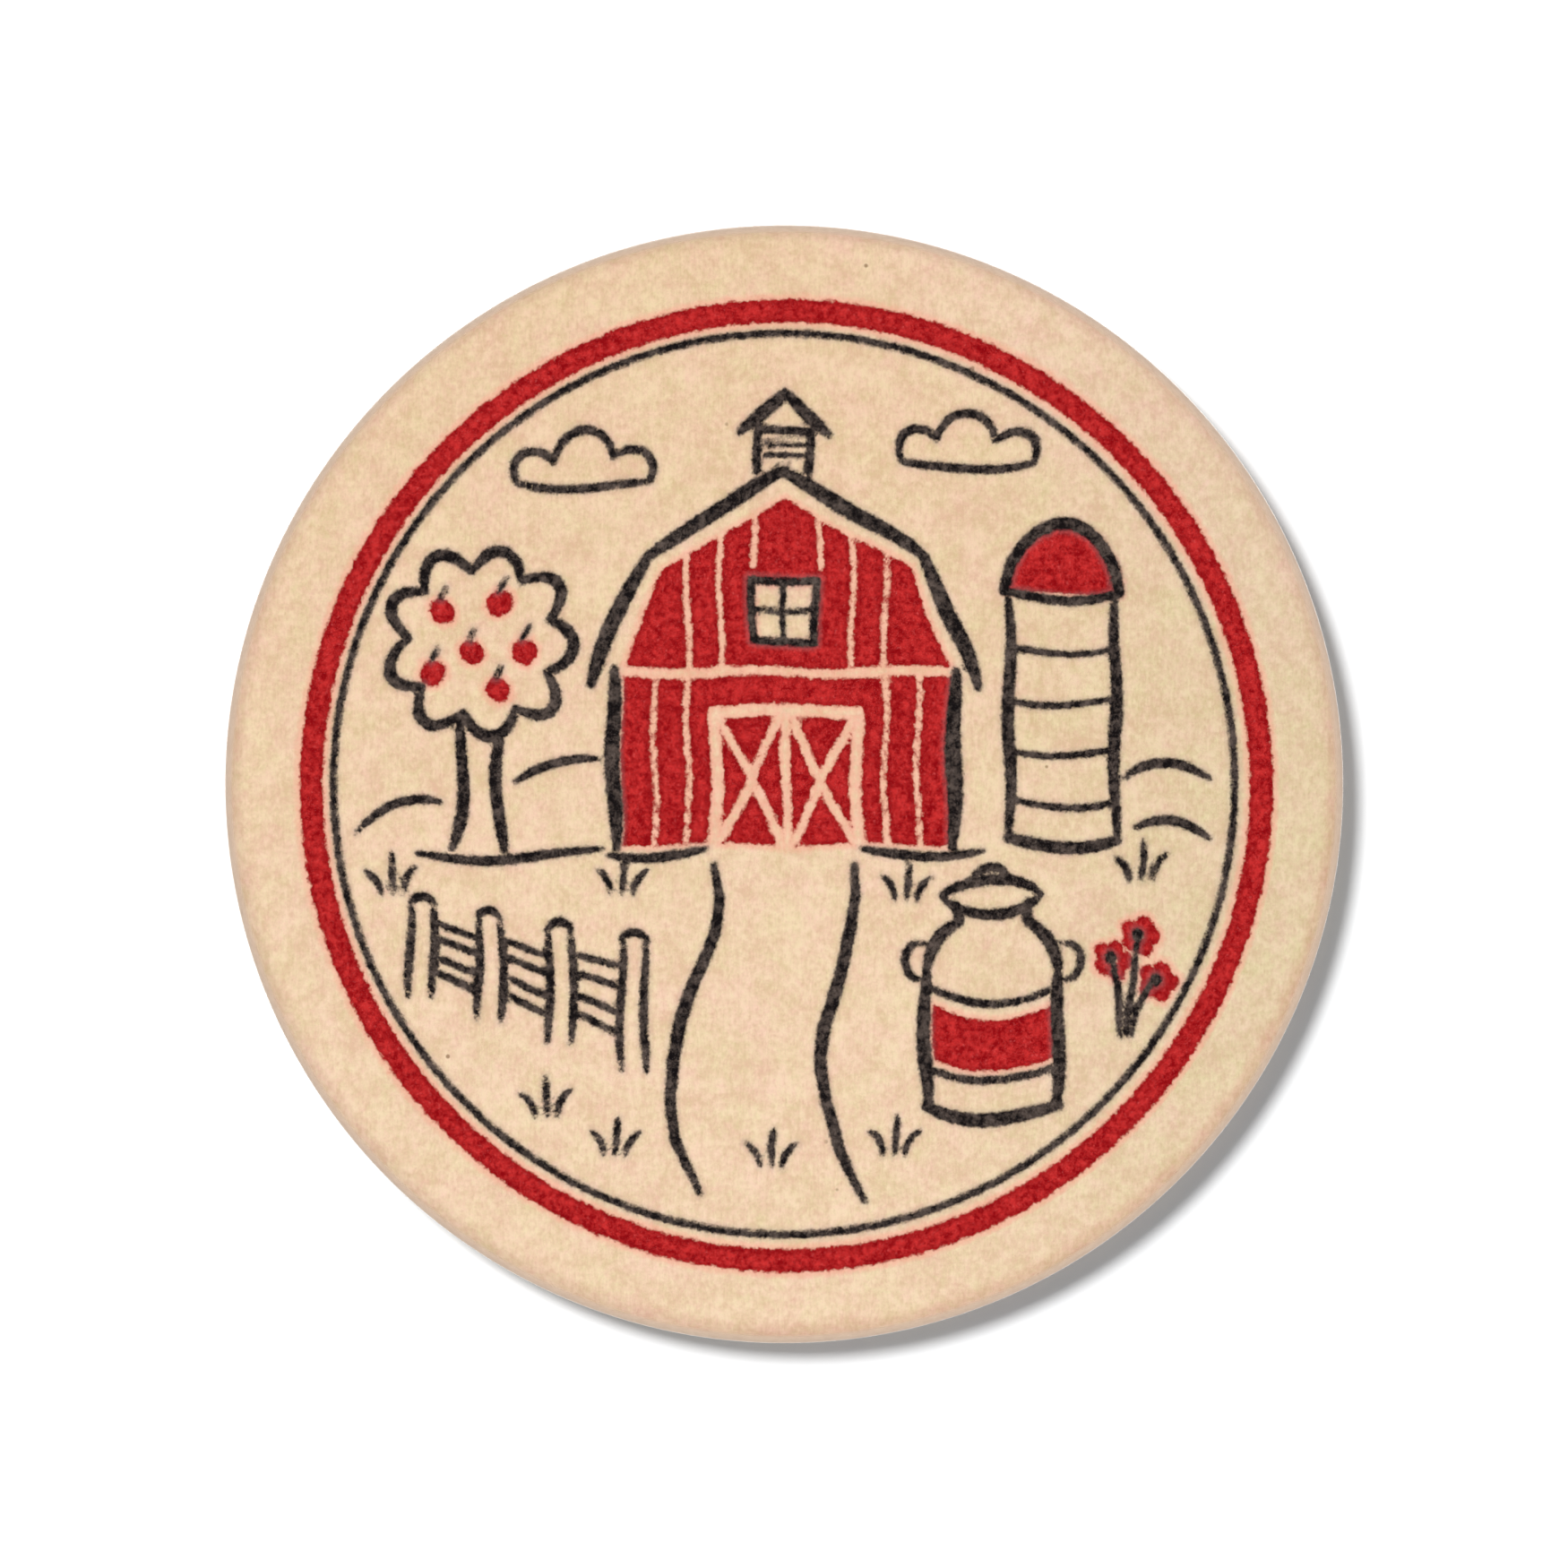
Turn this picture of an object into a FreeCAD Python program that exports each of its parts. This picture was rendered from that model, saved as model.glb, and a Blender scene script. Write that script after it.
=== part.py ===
import FreeCAD, Part
import math
import os

import Sketcher

# A pin-back button: film and printed paper pressed over a tin shell, a channelled collet that holds them,
# and a spring wire whose ring turns in the collet and whose arm crosses the back.
# Every body is drawn lying on its back, depth along +Z, and then stood up with its face towards -Y.

# Driving sizes in millimetres
SIZES = {
    "face_diameter": 57.15,
    "face_depth": 5.0,
    "crown_rise": 0.9,
    "edge_radius": 1.35,
    "film_thickness": 0.15,
    "paper_thickness": 0.12,
    "shell_thickness": 0.28,
    "layer_gap": 0.02,
    "rim_set": 0.1,
    "tuck_height": 2.4,
    "collet_thickness": 0.28,
    "collet_bend": 0.45,
    "back_flange": 2.45,
    "front_flange": 1.5,
    "wire_diameter": 0.9,
    "wire_play": 0.1,
    "wire_side_play": 0.05,
    "ring_end_drop": 11.5,
    "bend_radius": 2.0,
    "bend_stub": 0.1,
    "flex_gap": 0.05,
    "tip_gap": 0.5,
    "point_length": 4.0,
    "point_radius": 0.05,
}

# Derived sizes, as expressions on the sheet
OUTSIDE = "(dims.face_diameter / 2)"
PAPER_INSET = "(dims.film_thickness + dims.layer_gap)"
SHELL_INSET = f"({PAPER_INSET} + dims.paper_thickness + dims.layer_gap)"
EDGE_X = f"({OUTSIDE} - dims.edge_radius)"
EDGE_Z = "(dims.face_depth - dims.crown_rise - dims.edge_radius)"
ROLL_INSET = f"({SHELL_INSET} + dims.shell_thickness / 2)"
ROLL_X = f"({OUTSIDE} - {ROLL_INSET})"
ROLL_Z = f"(dims.rim_set + {ROLL_INSET})"
COLLET_OUT = f"({OUTSIDE} - 2 * {ROLL_INSET} - dims.layer_gap)"
COLLET_HEIGHT = "(2 * dims.collet_thickness + dims.wire_diameter + 2 * dims.wire_play)"
COLLET_MOUTH = f"({COLLET_OUT} - dims.back_flange - dims.collet_thickness / 2)"
WIRE_RADIUS = "(dims.wire_diameter / 2)"
WIRE_Z = f"(dims.collet_thickness + dims.wire_play + {WIRE_RADIUS})"
RING_RADIUS = f"({COLLET_OUT} - dims.collet_thickness - dims.wire_side_play - {WIRE_RADIUS})"
BEND_X = f"sqrt(pow({RING_RADIUS} - dims.bend_radius; 2) - pow(dims.bend_radius; 2))"
STUB_X = f"({BEND_X} - dims.bend_stub)"
FLEX_X = f"({STUB_X} - dims.flex_gap - {WIRE_RADIUS})"
ARM_LENGTH = f"({FLEX_X} + {COLLET_MOUTH} - dims.tip_gap)"

# The sketcher's numbers for a curve's points and for its own axes, the first of which starts at the origin
START, END, CENTRE = range(1, 4)
H_AXIS, V_AXIS = range(-1, -3, -1)
ORIGIN = (H_AXIS, START)

UPRIGHT = FreeCAD.Rotation(FreeCAD.Vector(1, 0, 0), 90)

doc = FreeCAD.newDocument("pin_back_button")


def make_sheet():
    """Puts every driving size in its own cell, with its name as the alias."""
    sheet = doc.addObject("Spreadsheet::Sheet", "dims")
    for row, (name, size) in enumerate(SIZES.items(), start=1):
        sheet.set(f"A{row}", str(size))
        sheet.setAlias(f"A{row}", name)
    doc.recompute()
    return sheet


sheet = make_sheet()


def value(expression):
    """The number that an expression on the sheet gives now."""
    return float(sheet.evalExpression(expression))


def new_body(label):
    """An empty body, stood up with its face towards -Y."""
    body = doc.addObject("PartDesign::Body", label)
    body.Label = label
    body.Placement = FreeCAD.Placement(FreeCAD.Vector(0, 0, 0), UPRIGHT)
    return body


class Outline:
    """A sketch on one of its body's origin planes, drawn at size and then held by constraints."""

    def __init__(self, body, name, plane):
        self.sketch = body.newObject("Sketcher::SketchObject", name)
        planes = [item for item in body.Origin.OriginFeatures if item.Role == plane]
        self.sketch.AttachmentSupport = (planes[0], [""])
        self.sketch.MapMode = "FlatFace"

    def line(self, start, end):
        return self.sketch.addGeometry(Part.LineSegment(FreeCAD.Vector(*start), FreeCAD.Vector(*end)))

    def circle(self, centre, radius):
        normal = FreeCAD.Vector(0, 0, 1)
        return self.sketch.addGeometry(Part.Circle(FreeCAD.Vector(*centre), normal, radius))

    def arc(self, centre, radius, first_degrees, last_degrees):
        whole = Part.Circle(FreeCAD.Vector(*centre), FreeCAD.Vector(0, 0, 1), radius)
        ends = math.radians(first_degrees), math.radians(last_degrees)
        return self.sketch.addGeometry(Part.ArcOfCircle(whole, *ends))

    def rule(self, kind, *where):
        self.sketch.addConstraint(Sketcher.Constraint(kind, *where))

    def size(self, expression, kind, *where):
        """A dimension that follows the sheet."""
        index = self.sketch.addConstraint(Sketcher.Constraint(kind, *where, value(expression)))
        self.sketch.setExpression(f"Constraints[{index}]", expression)

    def place(self, geometry, point, across, up):
        """Fixes a point at positive distances from the sketch's origin."""
        self.size(across, "DistanceX", *ORIGIN, geometry, point)
        self.size(up, "DistanceY", *ORIGIN, geometry, point)


def turn(body, outline, axis):
    """Revolves a closed section once round one of its sketch's axes."""
    turned = body.newObject("PartDesign::Revolution", body.Label + "_turned")
    turned.Profile = outline.sketch
    turned.ReferenceAxis = (outline.sketch, [axis])
    turned.Angle = 360
    body.Tip = turned
    return body


# The three pressed layers

def face_side(outline, inset):
    """One side of a pressed layer, an inset inside the film: the crown, the rolled edge and the wall."""
    outside, depth = value(OUTSIDE), value("dims.face_depth")
    edge, edge_radius = (value(EDGE_X), value(EDGE_Z)), value("dims.edge_radius")
    rise = depth - edge[1]
    crown_radius = (edge[0] ** 2 + rise ** 2 - edge_radius ** 2) / (2 * value("dims.crown_rise"))
    lean = math.degrees(math.asin(edge[0] / (crown_radius - edge_radius)))
    inwards = value(inset)

    crown = outline.arc((0, depth - crown_radius), crown_radius - inwards, 90 - lean, 90)
    roll = outline.arc(edge, edge_radius - inwards, 0, 90 - lean)
    wall = outline.line((outside - inwards, edge[1]), (outside - inwards, value(ROLL_Z)))

    outline.rule("PointOnObject", crown, CENTRE, V_AXIS)
    outline.rule("PointOnObject", crown, END, V_AXIS)
    outline.size(f"dims.face_depth - {inset}", "DistanceY", *ORIGIN, crown, END)
    outline.place(roll, CENTRE, EDGE_X, EDGE_Z)
    outline.size(f"dims.edge_radius - {inset}", "Radius", roll)
    outline.rule("Tangent", crown, START, roll, END)
    outline.rule("Tangent", roll, START, wall, START)
    outline.rule("Vertical", wall)
    return crown, wall


def tuck_side(outline, wall, inset):
    """One side of a layer's tail, carried round the shell's bare edge and up inside its wall."""
    centre = value(ROLL_X), value(ROLL_Z)
    radius = value(OUTSIDE) - value(inset) - centre[0]
    wrap = outline.arc(centre, radius, 180, 360)
    tail = outline.line((centre[0] - radius, centre[1]), (centre[0] - radius, value("dims.tuck_height")))
    outline.place(wrap, CENTRE, ROLL_X, ROLL_Z)
    outline.rule("Tangent", wall, END, wrap, END)
    outline.rule("Tangent", wrap, START, tail, START)
    outline.rule("Vertical", tail)
    outline.size("dims.tuck_height", "DistanceY", *ORIGIN, tail, END)
    return tail


def close_on_axis(outline, outer_crown, inner_crown, inset, thickness):
    """Joins the two sides of a layer where they meet the axis."""
    top = value("dims.face_depth") - value(inset)
    middle = outline.line((0, top), (0, top - value(thickness)))
    outline.rule("Coincident", outer_crown, END, middle, START)
    outline.rule("Coincident", inner_crown, END, middle, END)


def wrapped_layer(label, inset, thickness):
    """Film or paper: a sheet over the face whose edge is tucked in behind the shell."""
    body = new_body(label)
    outline = Outline(body, label + "_section", "XZ_Plane")
    under = f"({inset} + {thickness})"
    outer_crown, outer_wall = face_side(outline, inset)
    inner_crown, inner_wall = face_side(outline, under)
    outer_tail = tuck_side(outline, outer_wall, inset)
    inner_tail = tuck_side(outline, inner_wall, under)
    tail_x = 2 * value(ROLL_X) - value(OUTSIDE) + value(inset)
    tail_z = value("dims.tuck_height")
    cut_edge = outline.line((tail_x, tail_z), (tail_x + value(thickness), tail_z))
    outline.rule("Coincident", outer_tail, END, cut_edge, START)
    outline.rule("Coincident", inner_tail, END, cut_edge, END)
    close_on_axis(outline, outer_crown, inner_crown, inset, thickness)
    return turn(body, outline, "V_Axis")


def tin_shell(label):
    """The pressed shell, whose wall ends in a rounded edge."""
    body = new_body(label)
    outline = Outline(body, label + "_section", "XZ_Plane")
    thickness = "dims.shell_thickness"
    outer_crown, outer_wall = face_side(outline, SHELL_INSET)
    inner_crown, inner_wall = face_side(outline, f"({SHELL_INSET} + {thickness})")
    edge = outline.arc((value(ROLL_X), value(ROLL_Z)), value(thickness) / 2, 180, 360)
    outline.rule("Tangent", outer_wall, END, edge, END)
    outline.rule("Tangent", inner_wall, END, edge, START)
    outline.size(ROLL_Z, "DistanceY", *ORIGIN, edge, CENTRE)
    close_on_axis(outline, outer_crown, inner_crown, SHELL_INSET, thickness)
    return turn(body, outline, "V_Axis")


# The collet

def channel_side(outline, depth):
    """One side of the channel's sheet, a depth inside its outer faces: flange, bend, wall, bend, flange."""
    out, height = value(COLLET_OUT), value(COLLET_HEIGHT)
    bend, inwards = value("dims.collet_bend"), value(depth)
    bend_x = out - bend
    back = outline.line((out - value("dims.back_flange"), inwards), (bend_x, inwards))
    back_bend = outline.arc((bend_x, bend), bend - inwards, 270, 360)
    wall = outline.line((out - inwards, bend), (out - inwards, height - bend))
    front_bend = outline.arc((bend_x, height - bend), bend - inwards, 0, 90)
    front = outline.line((bend_x, height - inwards), (out - value("dims.front_flange"), height - inwards))

    bend_centre = f"{COLLET_OUT} - dims.collet_bend"
    outline.place(back_bend, CENTRE, bend_centre, "dims.collet_bend")
    outline.place(front_bend, CENTRE, bend_centre, f"{COLLET_HEIGHT} - dims.collet_bend")
    outline.size(f"dims.collet_bend - {depth}", "Radius", back_bend)
    outline.rule("Horizontal", back)
    outline.rule("Vertical", wall)
    outline.rule("Horizontal", front)
    outline.rule("Tangent", back, END, back_bend, START)
    outline.rule("Tangent", back_bend, END, wall, START)
    outline.rule("Tangent", wall, END, front_bend, START)
    outline.rule("Tangent", front_bend, END, front, START)
    return back, front


def collet(label):
    """A ring rolled from strip, open inwards, with rounded strip edges."""
    body = new_body(label)
    outline = Outline(body, label + "_section", "XZ_Plane")
    strip = "dims.collet_thickness"
    outer_back, outer_front = channel_side(outline, "0")
    inner_back, inner_front = channel_side(outline, strip)
    out, half = value(COLLET_OUT), value(strip) / 2
    back_edge = outline.arc((out - value("dims.back_flange"), half), half, 90, 270)
    front_edge = outline.arc((out - value("dims.front_flange"), value(COLLET_HEIGHT) - half), half, 90, 270)
    outline.rule("Tangent", inner_back, START, back_edge, START)
    outline.rule("Tangent", outer_back, START, back_edge, END)
    outline.rule("Tangent", outer_front, END, front_edge, START)
    outline.rule("Tangent", inner_front, END, front_edge, END)
    outline.size(f"{COLLET_OUT} - dims.back_flange", "DistanceX", *ORIGIN, back_edge, CENTRE)
    outline.size(f"{COLLET_OUT} - dims.front_flange", "DistanceX", *ORIGIN, front_edge, CENTRE)
    return turn(body, outline, "V_Axis")


# The spring wire

def spring_ring(label):
    """The open ring that lies in the collet's channel, and the bend that brings the wire inwards."""
    body = new_body(label)
    ring, bend = value(RING_RADIUS), value("dims.bend_radius")
    bend_x, drop = value(BEND_X), value("dims.ring_end_drop")
    stub_x = value(STUB_X)
    bend_angle = 180 - math.degrees(math.atan2(bend, bend_x))
    free_angle = math.degrees(math.asin(drop / ring)) - 180

    route = Outline(body, label + "_route", "XY_Plane")
    route.sketch.setExpression("AttachmentOffset.Base.z", WIRE_Z)
    round_run = route.arc((0, 0), ring, free_angle, bend_angle)
    bend_run = route.arc((-bend_x, bend), bend, bend_angle, 270)
    stub_run = route.line((-bend_x, 0), (-stub_x, 0))
    route.rule("Coincident", round_run, CENTRE, *ORIGIN)
    route.size(RING_RADIUS, "Radius", round_run)
    route.size("dims.ring_end_drop", "DistanceY", round_run, START, *ORIGIN)
    route.rule("Tangent", round_run, END, bend_run, START)
    route.size("dims.bend_radius", "Radius", bend_run)
    route.rule("Tangent", bend_run, END, stub_run, START)
    route.rule("PointOnObject", stub_run, START, H_AXIS)
    route.rule("Horizontal", stub_run)
    route.size(STUB_X, "DistanceX", stub_run, END, *ORIGIN)

    section = Outline(body, label + "_section", "YZ_Plane")
    section.sketch.setExpression("AttachmentOffset.Base.z", f"-{STUB_X}")
    wire = section.circle((0, value(WIRE_Z)), value(WIRE_RADIUS))
    section.rule("PointOnObject", wire, CENTRE, V_AXIS)
    section.size(WIRE_Z, "DistanceY", *ORIGIN, wire, CENTRE)
    section.size(WIRE_RADIUS, "Radius", wire)

    doc.recompute()
    swept = body.newObject("PartDesign::AdditivePipe", label + "_swept")
    swept.Profile = section.sketch
    swept.Spine = (route.sketch, ["Edge3", "Edge2", "Edge1"])
    body.Tip = swept
    return body


def pin_arm(label):
    """The straight run across the back, from a rounded root at the flexing bend to a ground point."""
    body = new_body(label)
    body.setExpression("Placement.Base.x", f"-{FLEX_X}")
    body.setExpression("Placement.Base.y", f"-{WIRE_Z}")
    radius, point, length = value(WIRE_RADIUS), value("dims.point_radius"), value(ARM_LENGTH)
    shoulder = length - value("dims.point_length")

    outline = Outline(body, label + "_section", "XZ_Plane")
    root = outline.arc((0, 0), radius, 90, 180)
    side = outline.line((0, radius), (shoulder, radius))
    taper = outline.line((shoulder, radius), (length, point))
    tip = outline.line((length, point), (length, 0))
    middle = outline.line((length, 0), (-radius, 0))
    outline.rule("Coincident", root, CENTRE, *ORIGIN)
    outline.size(WIRE_RADIUS, "Radius", root)
    outline.rule("Tangent", root, START, side, START)
    outline.rule("Horizontal", side)
    outline.size(f"{ARM_LENGTH} - dims.point_length", "DistanceX", *ORIGIN, side, END)
    outline.rule("Coincident", side, END, taper, START)
    outline.rule("Coincident", taper, END, tip, START)
    outline.rule("Vertical", tip)
    outline.size("dims.point_radius", "DistanceY", tip, END, tip, START)
    outline.rule("Coincident", tip, END, middle, START)
    outline.size(ARM_LENGTH, "DistanceX", *ORIGIN, middle, START)
    outline.rule("PointOnObject", middle, START, H_AXIS)
    outline.rule("Coincident", middle, END, root, END)
    outline.rule("PointOnObject", middle, END, H_AXIS)
    return turn(body, outline, "H_Axis")


def check(parts):
    """Stops unless every object solved and every piece is one whole solid."""
    for item in doc.Objects:
        if "Invalid" in item.State or "Error" in item.State:
            raise RuntimeError(f"{item.Label} failed: {item.State}")
    for part in parts:
        shape = part.Shape
        if shape.isNull() or not shape.isValid() or len(shape.Solids) != 1:
            raise RuntimeError(f"{part.Label} is not one valid solid")
        print(f"{part.Label}: {shape.Volume:.2f} mm3")


def main():
    parts = [
        wrapped_layer("clear_film", "0", "dims.film_thickness"),
        wrapped_layer("printed_paper", PAPER_INSET, "dims.paper_thickness"),
        tin_shell("front_shell"),
        collet("back_collet"),
        spring_ring("spring_ring"),
        pin_arm("pin_arm"),
    ]
    doc.recompute()
    check(parts)
    os.makedirs("parts", exist_ok=True)
    for part in parts:
        part.Shape.exportStep(f"parts/{part.Label}.step")


main()
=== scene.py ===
# %% [markdown]
# # A pin-back button, dressed round its CAD frame
# A printed paper disc and a clear film are pressed over a shallow tin shell. A channelled ring, the
# collet, is forced in behind and grips their edges, and a spring wire lies in its channel with one run
# across the back as the pin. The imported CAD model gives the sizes, bodies and joints. This lesson gives
# each piece its looks.

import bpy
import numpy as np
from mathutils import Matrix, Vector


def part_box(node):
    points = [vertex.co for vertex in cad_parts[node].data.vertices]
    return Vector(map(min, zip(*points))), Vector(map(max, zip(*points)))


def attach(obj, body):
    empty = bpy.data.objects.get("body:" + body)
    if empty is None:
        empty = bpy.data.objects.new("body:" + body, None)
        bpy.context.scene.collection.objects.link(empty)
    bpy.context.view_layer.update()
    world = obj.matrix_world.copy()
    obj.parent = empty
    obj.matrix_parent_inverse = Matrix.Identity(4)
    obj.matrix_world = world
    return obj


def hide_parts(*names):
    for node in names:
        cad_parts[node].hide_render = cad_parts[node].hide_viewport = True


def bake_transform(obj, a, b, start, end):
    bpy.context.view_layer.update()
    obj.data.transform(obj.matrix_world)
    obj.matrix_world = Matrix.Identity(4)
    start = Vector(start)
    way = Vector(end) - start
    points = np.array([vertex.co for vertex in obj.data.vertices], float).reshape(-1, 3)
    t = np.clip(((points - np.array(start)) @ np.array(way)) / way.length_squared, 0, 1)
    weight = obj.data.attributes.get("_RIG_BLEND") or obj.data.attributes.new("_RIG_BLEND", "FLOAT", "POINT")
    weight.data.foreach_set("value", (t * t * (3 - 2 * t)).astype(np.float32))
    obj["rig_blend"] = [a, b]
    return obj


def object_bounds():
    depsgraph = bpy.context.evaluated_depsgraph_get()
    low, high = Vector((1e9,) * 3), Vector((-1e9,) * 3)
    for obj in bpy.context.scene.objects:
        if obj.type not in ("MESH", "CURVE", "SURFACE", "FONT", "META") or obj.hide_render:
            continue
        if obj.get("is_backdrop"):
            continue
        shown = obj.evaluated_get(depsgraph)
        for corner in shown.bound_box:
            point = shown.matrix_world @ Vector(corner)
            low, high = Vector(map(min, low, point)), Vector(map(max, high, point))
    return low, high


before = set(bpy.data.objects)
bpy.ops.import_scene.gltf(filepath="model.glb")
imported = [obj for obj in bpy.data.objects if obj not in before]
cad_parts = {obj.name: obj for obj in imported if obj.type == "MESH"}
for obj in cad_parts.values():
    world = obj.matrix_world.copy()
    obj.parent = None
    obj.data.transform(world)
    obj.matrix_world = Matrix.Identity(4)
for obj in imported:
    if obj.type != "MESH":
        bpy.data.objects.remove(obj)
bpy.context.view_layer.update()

# %% Tools of the lesson
import math

import bmesh
import bpy
import numpy as np
from mathutils import Matrix, Vector

MM = 0.001
scene = bpy.context.scene
scene.view_settings.view_transform = "Standard"

# %% [markdown]
# ## The sizes that the looks need
# Most of them can be read from the boxes of the CAD nodes: how far each pressed layer lies inside the one
# before it, where the wire lies and how thick it is. The few that a box can't show are the gap between
# layers, the thickness of the tin, and the form that the press tool gives.

# %% Sizes, in metres
film_low, film_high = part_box("clear_film")
_, paper_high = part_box("printed_paper")
_, shell_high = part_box("front_shell")
collet_low, collet_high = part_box("back_collet")
ring_low, ring_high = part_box("spring_ring")
_, arm_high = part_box("pin_arm")

FACE_RADIUS = film_high.x
FACE_DEPTH = -film_low.y
PAPER_INSET = FACE_RADIUS - paper_high.x
SHELL_INSET = FACE_RADIUS - shell_high.x
LAYER_GAP = 0.02 * MM
FILM_THICKNESS = PAPER_INSET - LAYER_GAP
PAPER_THICKNESS = SHELL_INSET - PAPER_INSET - LAYER_GAP
SHEET_THICKNESS = 0.28 * MM
CROWN_RISE = 0.9 * MM
EDGE_RADIUS = 1.35 * MM
TUCK_DEPTH = 2.4 * MM
print("film and paper, mm:", round(FILM_THICKNESS / MM, 3), round(PAPER_THICKNESS / MM, 3))

# %% [markdown]
# ## The camera
# The photograph looks straight at the face, and the disc fills a known share of the frame's width. Its
# shadow is as wide as the disc and the rim's wall is out of sight, so the lens is a very long one. The
# distance follows from the lens and that share.

# %% Camera
PHOTO_WIDTH_PX = 1750
DISC_WIDTH_PX = 1248
LENS_MM = 500
SENSOR_MM = 36

EDGE_DEPTH = FACE_DEPTH - CROWN_RISE - EDGE_RADIUS
frame_width = 2 * FACE_RADIUS * PHOTO_WIDTH_PX / DISC_WIDTH_PX
camera_distance = frame_width * LENS_MM / SENSOR_MM
camera = bpy.data.objects.new("camera", bpy.data.cameras.new("camera"))
camera.data.lens = LENS_MM
camera.data.sensor_width = SENSOR_MM
camera.data.clip_start = 0.01
camera.location = (0, -EDGE_DEPTH - camera_distance, 0)
camera.rotation_euler = (math.radians(90), 0, 0)
scene.collection.objects.link(camera)
scene.camera = camera
print("camera stands", round(camera_distance, 4), "m in front of the rim")

# %% [markdown]
# ## Shader maths
# A finish is a tree of nodes, and long sums of Math nodes are hard to read. `Field` wraps one socket, so
# that an expression such as `1 - mask * 0.5` adds its own nodes. `Finish` makes every other node through
# one method, and measures in millimetres.

# %% Field: a socket with operators
class Field:
    """A socket that carries a number, with Python's operators."""

    def __init__(self, finish, socket):
        self.finish = finish
        self.socket = socket

    def maths(self, operation, *values):
        return self.finish.node("ShaderNodeMath", {"operation": operation}, dict(enumerate(values)))

    def __add__(self, other):
        return self.maths("ADD", self, other)

    def __sub__(self, other):
        return self.maths("SUBTRACT", self, other)

    def __rsub__(self, other):
        return self.maths("SUBTRACT", other, self)

    def __mul__(self, other):
        return self.maths("MULTIPLY", self, other)

    __radd__ = __add__
    __rmul__ = __mul__

    def rise(self, low, high):
        """0 below low, 1 above high and a smooth step between them."""
        limits = {"Value": self, "From Min": low, "From Max": high}
        return self.finish.node("ShaderNodeMapRange", {"interpolation_type": "SMOOTHSTEP"}, limits)

    def fall(self, low, high):
        return 1 - self.rise(low, high)

    def swing(self, times):
        """How far a noise is from its middle, made stronger or weaker."""
        return (self - 0.5) * times


# %% Finish: a material's nodes
class Finish:
    """The node tree of a material or of the world."""

    def __init__(self, owner):
        owner.use_nodes = True
        self.owner = owner
        self.tree = owner.node_tree
        self.tree.nodes.clear()

    def node(self, kind, settings=None, inputs=None, output=0):
        made = self.tree.nodes.new(kind)
        for name, setting in (settings or {}).items():
            setattr(made, name, setting)
        for name, value in (inputs or {}).items():
            if isinstance(value, Field):
                self.tree.links.new(value.socket, made.inputs[name])
            else:
                made.inputs[name].default_value = value
        return Field(self, made.outputs[output])

    def place(self, stretch=(1, 1, 1)):
        """Object coordinates in millimetres, stretched along the axes."""
        metres = self.node("ShaderNodeTexCoord", output="Object")
        per_metre = [share / MM for share in stretch]
        return self.node("ShaderNodeVectorMath", {"operation": "MULTIPLY"}, {0: metres, 1: per_metre})

    def reach(self):
        """The distance from the badge's axis in millimetres."""
        flat = self.place((1, 0, 1))
        return self.node("ShaderNodeVectorMath", {"operation": "LENGTH"}, {0: flat}, output="Value")

    def part(self, vector, axis):
        """One coordinate of a vector: X, Y or Z."""
        return self.node("ShaderNodeSeparateXYZ", None, {0: vector}, output=axis)

    def stored(self, name):
        """A number that the mesh keeps on its points."""
        return self.node("ShaderNodeAttribute", {"attribute_name": name}, output="Fac")

    def noise(self, place, scale, detail=3.0, roughness=0.5, distortion=0.0):
        inputs = {"Vector": place, "Scale": scale, "Detail": detail, "Roughness": roughness}
        inputs["Distortion"] = distortion
        return self.node("ShaderNodeTexNoise", None, inputs)

    def mix(self, share, first, second, blend="MIX"):
        """A colour between two others, or with MULTIPLY one colour tinted by the other."""
        settings = {"data_type": "RGBA", "blend_type": blend}
        return self.node("ShaderNodeMix", settings, {0: share, 6: first, 7: second}, output=2)

    def cover(self, share, under, over):
        """A shader partly covered by another."""
        return self.node("ShaderNodeMixShader", None, {0: share, 1: under, 2: over})

    def bump(self, height, strength, distance):
        inputs = {"Height": height, "Strength": strength, "Distance": distance}
        return self.node("ShaderNodeBump", None, inputs)

    def surface(self, shader):
        """Ends the tree with a shader."""
        is_world = isinstance(self.owner, bpy.types.World)
        end = self.tree.nodes.new("ShaderNodeOutputWorld" if is_world else "ShaderNodeOutputMaterial")
        self.tree.links.new(shader.socket, end.inputs["Surface"])
        return self.owner


def colour(red, green, blue):
    """A colour as a screen shows it, from 0 to 255, made linear for a socket."""
    def linear(level):
        share = level / 255
        return share / 12.92 if share <= 0.04045 else ((share + 0.055) / 1.055) ** 2.4
    return (linear(red), linear(green), linear(blue), 1.0)


print("a cream of 237, 206, 168 is", [round(part, 3) for part in colour(237, 206, 168)])

# %% [markdown]
# ## The stage
# The photograph shows the disc just in front of white, with its shadow falling to the lower right. A wall
# stands at the plane that the badge's back touches. Its paint is a pale blue-grey, because the light in the
# shadow is warm from the badge's edge, and it has a lamp of its own, so that it renders white in the light
# and a middle grey in the shadow. Seen from behind it lets the view through, so that the back of the badge
# can be looked at too.

# %% Wall
WALL_HALF_WIDTH = 1.0
WALL_GAP = 0.05 * MM
WALL_PAINT = (0.742, 0.826, 0.907, 1)


def wall_finish():
    finish = Finish(bpy.data.materials.new("wall_paint"))
    behind = finish.node("ShaderNodeNewGeometry", output="Backfacing")
    paint = finish.node("ShaderNodeBsdfDiffuse", None, {"Color": WALL_PAINT})
    clear = finish.node("ShaderNodeBsdfTransparent")
    return finish.surface(finish.cover(behind, paint, clear))


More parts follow.
